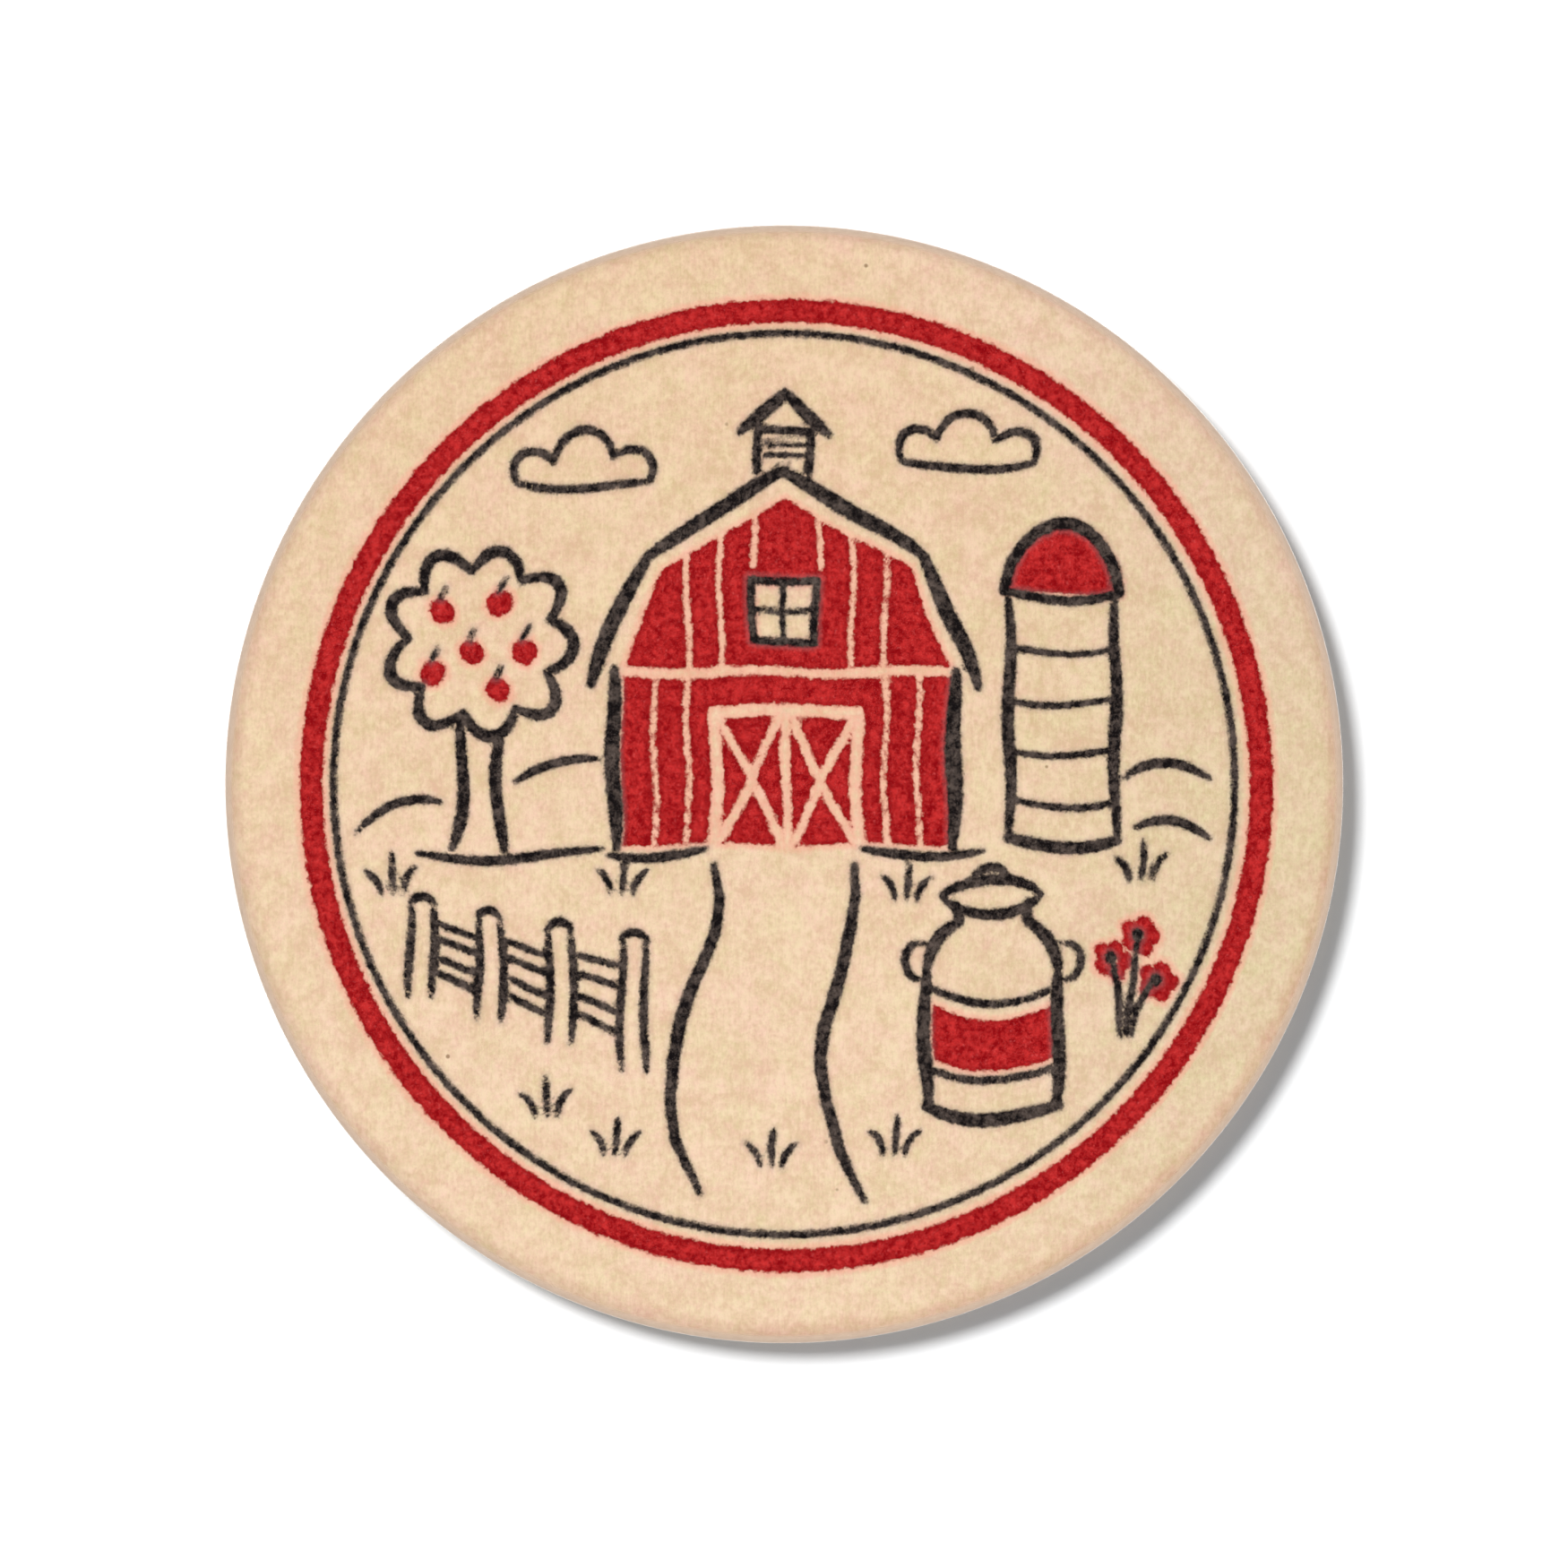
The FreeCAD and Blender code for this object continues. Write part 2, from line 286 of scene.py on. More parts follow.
def make_wall():
    shape = bmesh.new()
    upright = Matrix.Translation((0, WALL_GAP, 0)) @ Matrix.Rotation(math.radians(90), 4, "X")
    bmesh.ops.create_grid(shape, x_segments=1, y_segments=1, size=WALL_HALF_WIDTH, matrix=upright)
    mesh = bpy.data.meshes.new("wall")
    shape.to_mesh(mesh)
    shape.free()
    mesh.materials.append(wall_finish())
    made = bpy.data.objects.new("wall", mesh)
    scene.collection.objects.link(made)
    made.visible_shadow = False
    made.visible_diffuse = False
    made.visible_glossy = False
    made.visible_transmission = False
    made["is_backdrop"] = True
    return made


wall = make_wall()
print("wall faces", tuple(round(part, 2) for part in wall.data.polygons[0].normal))

# %% [markdown]
# ## The light
# The photograph's face is lit evenly from the front, and its shadow is dark with a soft edge. No one lamp
# gives both, so each lamp is linked to what it lights: one sun draws the shadow on the wall, in the colour
# that undoes the paint's blue, and another lights the badge from the front. A third lights the back. The
# world glows at the sides, which keeps the rim even.

# %% Lamps
def sun(name, towards, brightness, spread):
    """A sun, so many degrees wide. At brightness 1 a white matt face turned to it renders as white."""
    light = bpy.data.lights.new(name, "SUN")
    light.energy = math.pi * brightness
    light.angle = math.radians(spread)
    lamp = bpy.data.objects.new(name, light)
    lamp.rotation_mode = "QUATERNION"
    lamp.rotation_quaternion = Vector(towards).to_track_quat("-Z", "Y")
    scene.collection.objects.link(lamp)
    return lamp


def link_lamp(lamp, state):
    """Lets a lamp light only the wall, with INCLUDE, or all but the wall, with EXCLUDE."""
    lit = bpy.data.collections.new(lamp.name + "_lights")
    lit.objects.link(wall)
    lit.collection_objects[0].light_linking.link_state = state
    lamp.light_linking.receiver_collection = lit


shadow_sun = sun("shadow_sun", towards=(0.338, 1, -0.31), brightness=1.25, spread=15)
shadow_sun.data.color = [WALL_PAINT[0] / part for part in WALL_PAINT[:3]]
link_lamp(shadow_sun, "INCLUDE")
front_sun = sun("front_sun", towards=(0, 1, 0), brightness=0.6, spread=40)
front_sun.visible_glossy = False
link_lamp(front_sun, "EXCLUDE")
back_sun = sun("back_sun", towards=(0.12, -1, -0.22), brightness=0.5, spread=50)
link_lamp(back_sun, "EXCLUDE")

# %% World
SIDE_GLOW = 0.8


def studio_world():
    """White where it is seen, straight or in a reflection. What it lights gets a glow from the sides."""
    finish = Finish(bpy.data.worlds.new("studio"))
    seen = finish.node("ShaderNodeLightPath", output="Is Camera Ray")
    for ray in ("Is Glossy Ray", "Is Transmission Ray"):
        seen = seen.maths("MAXIMUM", seen, finish.node("ShaderNodeLightPath", output=ray))
    way = finish.node("ShaderNodeTexCoord", output="Generated")
    depth = finish.part(way, "Y")
    glow = SIDE_GLOW * (1 - depth * depth)
    light = finish.node("ShaderNodeBackground", None, {"Color": (1, 1, 1, 1), "Strength": glow})
    white = finish.node("ShaderNodeBackground", None, {"Color": (1, 1, 1, 1), "Strength": 1.0})
    return finish.surface(finish.cover(seen, light, white))


scene.world = studio_world()
print("world:", scene.world.name)

# %% [markdown]
# ## Turned sections
# Film, paper, shell and collet are all round, so each is drawn as a half section and turned. A straight
# run is an extruded vertex and an arc is a spun one, so the section has the radii of the press tool and no
# list of points. One spin about the badge's axis then makes a slice, and a second copies the slice all
# round, in far less time than one long spin takes.

# %% Section: a line drawn in the plane z = 0
SLICES = 16
WELD = 0.0001 * MM


class Section:
    """A half section. x is the distance from the axis, and y runs from the face to the back."""

    def __init__(self, x, y):
        self.shape = bmesh.new()
        self.first = self.shape.verts.new((x, y, 0))
        self.last = self.first

    def run(self, x, y):
        made = bmesh.ops.extrude_vert_indiv(self.shape, verts=[self.last])
        self.last = made["verts"][0]
        self.last.co = (x, y, 0)

    def arc(self, centre, degrees, steps):
        turn = {"cent": (*centre, 0), "axis": (0, 0, 1), "angle": math.radians(degrees), "steps": steps}
        made = bmesh.ops.spin(self.shape, geom=[self.last], **turn)
        self.last = [item for item in made["geom_last"] if isinstance(item, bmesh.types.BMVert)][0]

    def close(self):
        self.shape.edges.new((self.last, self.first))

    def mark(self, name, count):
        """Keeps a 1 on the points that were drawn first, under a name that a finish can read."""
        layer = self.shape.verts.layers.float.new(name)
        for vert in self.shape.verts[:count]:
            vert[layer] = 1.0

    def measure(self, name):
        """Keeps on each point its distance along the line, from the first point drawn."""
        layer = self.shape.verts.layers.float.new(name)
        drawn = self.shape.verts[:]
        for before, vert in zip(drawn, drawn[1:]):
            vert[layer] = before[layer] + (vert.co - before.co).length

    def lathe(self, steps):
        """Turns the section round the badge's axis: one slice, and then copies of the slice."""
        turn = {"cent": (0, 0, 0), "axis": (0, 1, 0)}
        angle = 2 * math.pi / SLICES
        drawn = self.shape.verts[:] + self.shape.edges[:]
        bmesh.ops.spin(self.shape, geom=drawn, angle=angle, steps=steps // SLICES, **turn)
        drawn = self.shape.verts[:] + self.shape.edges[:] + self.shape.faces[:]
        copies = {"use_duplicate": True, "angle": 2 * math.pi - angle, "steps": SLICES - 1}
        bmesh.ops.spin(self.shape, geom=drawn, **copies, **turn)
        bmesh.ops.remove_doubles(self.shape, verts=self.shape.verts[:], dist=WELD)
        bmesh.ops.recalc_face_normals(self.shape, faces=self.shape.faces[:])
        return self.shape


# %% Piece: from a bmesh to an object on its body
def make_piece(name, shape, finish, node):
    """Puts a finished shape in the scene in the place of its CAD node."""
    mesh = bpy.data.meshes.new(name)
    shape.to_mesh(mesh)
    shape.free()
    mesh.materials.append(finish)
    made = bpy.data.objects.new(name, mesh)
    scene.collection.objects.link(made)
    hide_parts(node)
    mesh.calc_loop_triangles()
    print(f"{name}: {len(mesh.vertices)} points, {len(mesh.loop_triangles)} triangles")
    return made


def smooth(shape):
    for face in shape.faces:
        face.smooth = True
    return shape


# %% [markdown]
# ## The pressed layers
# The press gives all three layers one form: a slightly crowned face, a rolled edge and a short wall. Film
# and paper go on round the bare edge of the shell and up inside its wall, where the collet grips them. Their
# outer side carries a mark, so that a finish can tell it from the side that faces the next layer. Both were
# flat discs before the press, and that disc is their UV map: the distance from its middle is the distance
# along the section. The hidden inner side lies small in a corner of the map.

# %% The form of the press
ROLL_INSET = SHELL_INSET + SHEET_THICKNESS / 2
ROLL = Vector((FACE_RADIUS - ROLL_INSET, film_high.y - ROLL_INSET))
EDGE = Vector((FACE_RADIUS - EDGE_RADIUS, -EDGE_DEPTH))
edge_rise = FACE_DEPTH - EDGE_DEPTH
CROWN_RADIUS = (EDGE.x**2 + edge_rise**2 - EDGE_RADIUS**2) / (2 * CROWN_RISE)
CROWN_LEAN = math.degrees(math.asin(EDGE.x / (CROWN_RADIUS - EDGE_RADIUS)))
CROWN = Vector((0, CROWN_RADIUS - FACE_DEPTH))
EDGE_STEPS = 8
WRAP_STEPS = 12
INNER_CROWN_STEPS = 6
INNER_EDGE_STEPS = 5
LAYER_TURN_STEPS = 640
SHELL_CROWN_STEPS = 12
SHELL_INNER_STEPS = 24
SHELL_TURN_STEPS = 256
print("crown radius, mm:", round(CROWN_RADIUS / MM, 1), "and lean", round(CROWN_LEAN, 2))


# %% Sections of the layers
PATTERN_NAME = "OFBake"
PATTERN_MIDDLE = Vector((0.5, 0.5))
PATTERN_RADIUS = 0.49
HIDDEN_MIDDLE = Vector((0.08, 0.08))
HIDDEN_RADIUS = 0.14


def draw_face(section, inset, crown_steps, edge_steps):
    """From the pole over the crown and round the edge to the wall."""
    section.arc(CROWN, CROWN_LEAN, crown_steps)
    section.arc(EDGE, 90 - CROWN_LEAN, edge_steps)
    section.run(FACE_RADIUS - inset, ROLL.y)


def draw_face_back(section, crown_steps, edge_steps):
    """The same line from the wall's inner side back to the pole."""
    section.run(section.last.co.x, EDGE.y)
    section.arc(EDGE, CROWN_LEAN - 90, edge_steps)
    section.arc(CROWN, -CROWN_LEAN, crown_steps)


def flat_pattern(shape):
    """A UV map that is the sheet before it was pressed."""
    pattern = shape.loops.layers.uv.new(PATTERN_NAME)
    outside = shape.verts.layers.float["outside"]
    run = shape.verts.layers.float["run"]
    whole = max(vert[run] for vert in shape.verts)
    cut_radius = max(vert[run] for vert in shape.verts if vert[outside])
    for face in shape.faces:
        shown = any(vert[outside] for vert in face.verts)
        for loop in face.loops:
            angle = math.atan2(loop.vert.co.z, loop.vert.co.x)
            way = Vector((math.cos(angle), math.sin(angle)))
            if shown:
                loop[pattern].uv = PATTERN_MIDDLE + way * PATTERN_RADIUS * loop.vert[run] / cut_radius
            else:
                loop[pattern].uv = HIDDEN_MIDDLE + way * HIDDEN_RADIUS * (1 - loop.vert[run] / whole)
    print("flat disc, mm:", round(2 * cut_radius / MM, 2))
    return shape


def wrapped_layer(inset, thickness, crown_steps):
    """Film or paper: over the face, round the shell's bare edge and up inside its wall."""
    section = Section(0, inset - FACE_DEPTH)
    draw_face(section, inset, crown_steps, EDGE_STEPS)
    section.arc(ROLL, 180, WRAP_STEPS)
    section.run(section.last.co.x, -TUCK_DEPTH)
    outer_count = len(section.shape.verts)
    section.run(section.last.co.x + thickness, -TUCK_DEPTH)
    section.run(section.last.co.x, ROLL.y)
    section.arc(ROLL, -180, EDGE_STEPS)
    draw_face_back(section, INNER_CROWN_STEPS, INNER_EDGE_STEPS)
    section.mark("outside", outer_count)
    section.measure("run")
    return flat_pattern(section.lathe(LAYER_TURN_STEPS))


def pressed_shell():
    """The tin: over the face, round its own bare edge and back along the inner side."""
    section = Section(0, SHELL_INSET - FACE_DEPTH)
    draw_face(section, SHELL_INSET, SHELL_CROWN_STEPS, EDGE_STEPS)
    section.arc(ROLL, 180, EDGE_STEPS)
    draw_face_back(section, SHELL_INNER_STEPS, EDGE_STEPS)
    return section.lathe(SHELL_TURN_STEPS)


# %% [markdown]
# Flat sheet can't be turned round a rim without gathering, so film and paper pucker where they are tucked
# in. The puckers are real ridges less than a tenth of a millimetre high, the same in both layers so that
# they nest. Each point also keeps how deep it lies between them, for the painted shade in the folds.

# %% Puckers of the tucked edge
PUCKER_HEIGHT = 0.085 * MM
PUCKERS = 50


def pucker(shape):
    """Lifts ridges from the tucked edge, away from its centre, and keeps the depth of the folds between."""
    # The depth kept here darkens the folds in the paper's finish, as painted shade.
    fold_shade = shape.verts.layers.float.new("fold_shade")
    for vert in shape.verts:
        reach = math.hypot(vert.co.x, vert.co.z)
        out = Vector((reach - ROLL.x, vert.co.y - ROLL.y))
        if out.y <= 0:
            continue
        angle = math.atan2(vert.co.z, vert.co.x)
        uneven = PUCKERS * angle + 1.7 * math.sin(5 * angle) + 1.1 * math.sin(13 * angle + 0.6)
        height = (0.65 + 0.35 * math.sin(9 * angle + 2.0)) * abs(math.sin(uneven)) ** 0.8
        share = (out.y / out.length) ** 2
        vert[fold_shade] = (1 - height) * share
        step = out.normalized() * PUCKER_HEIGHT * height * share
        vert.co.y += step.y
        vert.co.x += step.x * math.cos(angle)
        vert.co.z += step.x * math.sin(angle)
    return shape


# %% [markdown]
# ## The clear film
# Celluloid or acetate over the print: clear, a little yellow, and satin rather than glossy. Full glass
# refraction isn't worth its noise in a film this thin. Light goes straight through, and Fresnel adds a
# blurred sheen, most of it where the rim turns away. Where the film is stretched over the edge, or is seen
# along its wall, it is hazy, so that no line of background shows between the paper and the outline. The
# haze is on the outer side alone: it veils the paper and still lets the light in to it. Its colour is
# painted shade, a tan darker than the paper that stands for the rolled edge turning from the light. It is
# patchy, and tans further and clears towards the wall.

# %% Film
FILM_CROWN_STEPS = 12
FILM_SHEEN = 0.7
FILM_SHEEN_IOR = 1.12
HAZE_START = 28.05
HAZE_END = 28.36
HAZE_FADE = 0.8
HAZE_MOST = 0.98
HAZE_CLEARING = 0.8


def film_finish():
    finish = Finish(bpy.data.materials.new("clear_satin_film"))
    place = finish.place()
    facing = 1 - finish.node("ShaderNodeNewGeometry", output="Backfacing")
    skin = facing * finish.stored("outside")
    depth = finish.part(place, "Y")
    along = finish.node("ShaderNodeLayerWeight", None, {"Blend": 0.5}, output="Facing").rise(0.75, 0.9)
    wall_share = depth.rise(EDGE.y / MM, EDGE.y / MM + HAZE_FADE)
    most = HAZE_MOST - wall_share * (1 - along) * HAZE_CLEARING
    # Painted shade: how much of the paper the tan haze covers over the rolled edge.
    haze_and_rim_shade_share = finish.reach().rise(HAZE_START, HAZE_END) * most
    patch = 0.5 + finish.noise(place, 2.0, 3.0, 0.8).swing(2.0)
    # The haze's tan is painted shade of the rolled edge, darker still on the wall.
    haze_rim_shade_colour = finish.mix(patch, colour(216, 188, 165), colour(232, 206, 183))
    haze_rim_shade_colour = finish.mix(wall_share, haze_rim_shade_colour, colour(214, 182, 146))
    sheen = finish.node("ShaderNodeFresnel", None, {"IOR": FILM_SHEEN_IOR}) * FILM_SHEEN
    clear = finish.node("ShaderNodeBsdfTransparent", None, {"Color": (0.995, 0.99, 0.985, 1)})
    matt = {"Base Color": haze_rim_shade_colour, "Roughness": 1.0, "Specular IOR Level": 0.0}
    rim_shade_haze = finish.node("ShaderNodeBsdfPrincipled", None, matt)
    satin = finish.node("ShaderNodeBsdfAnisotropic", None, {"Color": (1, 1, 1, 1), "Roughness": 0.3})
    body = finish.cover(haze_and_rim_shade_share * skin, clear, rim_shade_haze)
    return finish.surface(finish.cover(sheen * skin, body, satin))


film_shape = smooth(pucker(wrapped_layer(0, FILM_THICKNESS, FILM_CROWN_STEPS)))
film = make_piece("film_skin", film_shape, film_finish(), "clear_film")
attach(film, "badge")

# %% [markdown]
# ## The printed paper
# Old two-colour letterpress on uncoated stock. The picture is a plain farm scene, in a red and a black
# plate. Each plate is kept as a distance: every point of the paper stores how far it is from the nearest
# inked edge. Between points that distance runs evenly, so edges stay crisp on a mesh far coarser than the
# picture, and the finish can roughen them, squeeze ink along them or let it bleed, all from one number.

# %% Paper mesh
PRINT_STEP = 0.25 * MM

paper_shape = smooth(pucker(wrapped_layer(PAPER_INSET, PAPER_THICKNESS, round(EDGE.x / PRINT_STEP))))
print("paper has", len(paper_shape.verts), "points to print on")


# %% Plate: distances to inked shapes
FAR = 99.0


class Plate:
    """One printing plate: for each point, in millimetres, the distance to its ink, negative inside."""

    def __init__(self, points):
        self.points = points
        self.distance = np.full(len(points), FAR)

    def add(self, distance):
        self.distance = np.minimum(self.distance, distance)

    def gap(self, start, end):
        """The distance to a straight line, and how far along it the nearest place is."""
        start = np.array(start, float)
        way = np.subtract(end, start)
        along = np.clip((self.points - start) @ way / (way @ way), 0, 1)
        away = self.points - start - along[:, None] * way
        return np.hypot(away[:, 0], away[:, 1]), along

    def brush(self, bend, width, thin=0.55, steps=9):
        """A brush stroke along a Bezier curve, thinner at its ends."""
        share = np.linspace(0, 1, steps + 1)
        half = width / 2 * (thin + (1 - thin) * np.sqrt(np.sin(np.pi * share)))
        line = bezier(bend, share)
        for index in range(steps):
            distance, along = self.gap(line[index], line[index + 1])
            self.add(distance - half[index] - along * (half[index + 1] - half[index]))

    def lines(self, corners, width):
        """Straight ruled lines from corner to corner."""
        for start, end in zip(corners, corners[1:]):
            self.add(self.gap(start, end)[0] - width / 2)

    def area(self, corners):
        """A filled outline."""
        inside = np.zeros(len(self.points), bool)
        edge = np.full(len(self.points), FAR)
        across, up = self.points.T
        for start, end in zip(corners, [*corners[1:], corners[0]]):
            edge = np.minimum(edge, self.gap(start, end)[0])
            level = (start[1] > up) != (end[1] > up)
            slope = (end[0] - start[0]) / (end[1] - start[1]) if end[1] != start[1] else 0.0
            inside ^= level & (across < start[0] + (up - start[1]) * slope)
        self.add(np.where(inside, -edge, edge))

    def disc(self, centre, radius):
        self.add(np.hypot(*(self.points - centre).T) - radius)

    def hoop(self, points, radius, width):
        """A ruled circle, on points without the hand's wobble."""
        self.add(np.abs(np.hypot(*points.T) - radius) - width / 2)

    def cut(self, other):
        """Takes another plate's shapes out of this one."""
        self.distance = np.maximum(self.distance, -other.distance)


def bezier(bend, share):
    rows = [np.outer(1 + 0 * share, point) for point in np.array(bend, float)]
    while len(rows) > 1:
        rows = [first + (last - first) * share[:, None] for first, last in zip(rows, rows[1:])]
    return rows[0]


def mirrored(bend):
    return [(-across, up) for across, up in bend]


# %% Points to print on
PRINT_RADIUS = 25.5
HAND_WOBBLE = 0.09
RED_OFF_REGISTER = (0.12, -0.09)


def print_points(shape):
    """Which points of the paper face the press, and their places with a hand's wobble, in millimetres."""
    places = np.array([vert.co for vert in shape.verts]) / MM
    shape.normal_update()
    front = np.array([vert.normal.y < -0.9 for vert in shape.verts])
    flat = places[:, [0, 2]]
    front &= np.hypot(*flat.T) < PRINT_RADIUS
    across, up = flat[front].T
    sideways = np.sin(0.9 * up + 1.6 * np.sin(0.4 * across))
    upwards = np.sin(0.8 * across - 1.3 * np.sin(0.5 * up))
    wobble = np.stack([sideways, upwards])
    return front, flat[front], flat[front] + HAND_WOBBLE * wobble.T


front_points, ruled, art = print_points(paper_shape)
print("points that take ink:", len(art))

# %% [markdown]
# ### The picture
# A barn with a gambrel roof, a silo, an apple tree, a fence, a winding path, a milk churn, flowers and
# clouds, inside a ruled border. It is drawn in millimetres from the middle of the face. Solid shapes go on
# the red plate, with doors and boards cut out of them so that the paper shows, and lines go on the black.

# %% Barn
BARN_HALF = 8.4
BARN_GROUND = -3.0
EAVES = 5.8
BOARD = 1.68

red = Plate(art - np.array(RED_OFF_REGISTER))
bare = Plate(red.points)
black = Plate(art)

barn_side = [(BARN_HALF, BARN_GROUND), (BARN_HALF, EAVES), (6.3, 11.1), (0, 14.6)]
red.area(barn_side + mirrored(barn_side)[2::-1])
bare.lines([(-3.6, BARN_GROUND - 1), (-3.6, 3.8), (3.6, 3.8), (3.6, BARN_GROUND - 1)], 0.62)
bare.lines([(0, BARN_GROUND - 1), (0, 3.8)], 0.5)
bare.lines([(-BARN_HALF, EAVES), (BARN_HALF, EAVES)], 0.5)
bare.area([(-1.6, 7.3), (1.6, 7.3), (1.6, 10.4), (-1.6, 10.4)])
for side in (-1, 1):
    bare.lines([(side * 3.4, BARN_GROUND), (side * 0.2, 3.6)], 0.46)
    bare.lines([(side * 3.4, 3.6), (side * 0.2, BARN_GROUND)], 0.46)
    for board in (3, 4):
        bare.lines([(side * board * BOARD, BARN_GROUND), (side * board * BOARD, EAVES)], 0.3)
    for board in (1, 2, 3):
        bare.lines([(side * board * BOARD, EAVES if board > 1 else 11.2), (side * board * BOARD, 14)], 0.3)
red.cut(bare)

roof = [[(9.9, 5.0), (8.6, 8.9), (6.9, 11.8)], [(7.1, 11.6), (3.6, 14.1), (-0.2, 16.0)]]
for bend in roof + [[(8.7, 5.8), (8.75, 1.5), (8.6, -3.2)]]:
    black.brush(bend, 0.85)
    black.brush(mirrored(bend), 0.85)
black.lines([(-1.6, 7.3), (1.6, 7.3), (1.6, 10.4), (-1.6, 10.4), (-1.6, 7.3)], 0.45)
black.lines([(0, 7.3), (0, 10.4)], 0.36)
black.lines([(-1.6, 8.9), (1.6, 8.9)], 0.36)
print("barn drawn")

# %% Cupola, silo and tree
SILO_HALF = 2.7
SILO = 14.2
TREE = (-15.5, 7.2)
TREE_BUMPS = 9

black.lines([(-1.3, 15.9), (-1.3, 18.0), (1.3, 18.0), (1.3, 15.9)], 0.5)
for level in (16.7, 17.3):
    black.lines([(-0.9, level), (0.9, level)], 0.34)
black.brush([(-2.2, 17.9), (-1.0, 18.9), (0, 20.1)], 0.75)
black.brush([(2.2, 17.9), (1.0, 18.9), (0, 20.1)], 0.75)

dome = [(SILO - SILO_HALF - 0.2, 9.8), (SILO - 2.3, 14.4), (SILO + 2.3, 14.4), (SILO + SILO_HALF + 0.2, 9.8)]
rim = [dome[3], (SILO, 8.9), dome[0]]
red.area([tuple(point) for point in bezier(dome, np.linspace(0, 1, 13))])
black.brush(dome, 0.7, thin=0.8)
black.brush(rim, 0.55, thin=0.8)
for level, width in ((7.0, 0.4), (4.4, 0.4), (1.8, 0.4), (-0.8, 0.4), (-2.8, 0.7)):
    black.brush([(SILO - SILO_HALF, level), (SILO, level - 0.9), (SILO + SILO_HALF, level)], width, thin=0.8)
for side in (-1, 1):
    black.brush([(SILO + side * SILO_HALF, 9.6), (SILO + side * SILO_HALF, -2.9)], 0.68)

turns = np.linspace(0, 2 * np.pi, TREE_BUMPS + 1) + 0.3
for first, last in zip(turns, turns[1:]):
    spread = [(3.7, first), (5.4, 0.7 * first + 0.3 * last), (5.4, 0.3 * first + 0.7 * last), (3.7, last)]
    bump = [(TREE[0] + out * np.cos(turn), TREE[1] + out * np.sin(turn)) for out, turn in spread]
    black.brush(bump, 0.66)
for across, up in ((-2.0, 1.7), (0.9, 2.2), (2.2, -0.3), (-0.6, -0.4), (-2.6, -1.5), (0.7, -2.3)):
    apple = (TREE[0] + across, TREE[1] + up)
    red.disc(apple, 0.66)
    black.brush([(apple[0], apple[1] + 0.5), (apple[0] + 0.4, apple[1] + 1.2)], 0.36)
for bend in ([(-16.9, -3.3), (-16.1, -0.6), (-16.5, 3.1)], [(-14.3, -3.4), (-15.0, -0.4), (-14.4, 2.6)]):
    black.brush(bend, 0.7)
print("silo and tree drawn")


# %% Ground, fence and path
def tuft(across, up):
    """Three blades of grass."""
    for lean, height in ((-1.3, 1.2), (0.1, 2.0), (1.3, 1.3)):
        root = across + 0.45 * lean
        black.brush([(root, up), (root, up + 0.6 * height), (across + lean, up + height)], 0.42)


for bend in (
    [(-21.8, -2.4), (-20.0, -0.4), (-17.6, -1.0)], [(-13.6, 0.2), (-11.8, 1.5), (-9.5, 1.2)],
    [(17.5, 0.4), (19.2, 2.0), (21.8, 0.2)], [(17.9, -2.2), (19.8, -1.4), (21.6, -2.8)],
    [(-18.6, -3.6), (-14.6, -4.2), (-9.4, -3.3)], [(-9.0, -3.6), (-6.6, -3.9), (-3.9, -3.4)],
    [(3.9, -3.4), (6.6, -3.9), (10.2, -3.4)],
):
    black.brush(bend, 0.56)
black.brush([(-3.5, -4.2), (-2.2, -9.4), (-8.6, -12.6), (-4.4, -20.8)], 0.7)
black.brush([(3.5, -4.2), (4.8, -8.8), (-1.2, -13.0), (4.2, -21.2)], 0.7)
posts = [(-18.5, -10.8, -6.2), (-15.0, -12.0, -6.8), (-11.4, -13.2, -7.4), (-7.7, -14.5, -8.0)]
for post, foot, top in posts:
    middle = (foot + top) / 2
    black.brush([(post - 0.6, foot), (post - 0.65, middle), (post - 0.55, top)], 0.5)
    black.brush([(post + 0.6, foot - 0.1), (post + 0.65, middle), (post + 0.55, top)], 0.5)
    black.brush([(post - 0.65, top), (post, top + 0.8), (post + 0.65, top)], 0.5)
for near, far in zip(posts, posts[1:]):
    for share in (0.22, 0.38, 0.58, 0.74):
        levels = [top + share * (foot - top) for _, foot, top in (near, far)]
        black.brush([(near[0] + 0.75, levels[0]), (far[0] - 0.75, levels[1])], 0.42, thin=0.75)
grass = [(-20.0, -5.6), (-8.2, -5.6), (6.3, -6.0), (-12.2, -17.0), (-8.6, -19.0), (5.6, -19.0)]
for across, up in grass + [(18.2, -4.9), (-0.6, -19.6)]:
    tuft(across, up)
print("ground drawn")

# %% Churn, flowers and sky
CHURN = 10.6


def churn_pair(bend, width):
    """A stroke of the churn and its mirror image."""
    for side in (-1, 1):
        black.brush([(CHURN + side * across, up) for across, up in bend], width)


churn_pair([(3.4, -9.4), (3.45, -13.0), (3.3, -16.4)], 0.75)
churn_pair([(3.4, -9.6), (3.2, -7.9), (1.75, -7.0)], 0.68)
churn_pair([(1.75, -7.2), (1.7, -6.6), (1.8, -6.0)], 0.6)
churn_pair([(3.5, -8.2), (5.0, -8.0), (4.6, -10.4), (3.6, -10.0)], 0.46)
for low, width in ((-16.4, 0.75), (-10.4, 0.46), (-14.4, 0.46)):
    black.brush([(CHURN - 3.4, low), (CHURN, low - 1.5), (CHURN + 3.4, low)], width, thin=0.8)
for lid in (-6.9, -4.6):
    black.brush([(CHURN - 2.5, -5.7), (CHURN - 1.6, lid), (CHURN + 1.6, lid), (CHURN + 2.5, -5.7)], 0.6)
black.brush([(CHURN - 0.9, -5.0), (CHURN - 0.8, -4.0), (CHURN + 0.8, -4.0), (CHURN + 0.9, -5.0)], 0.5)
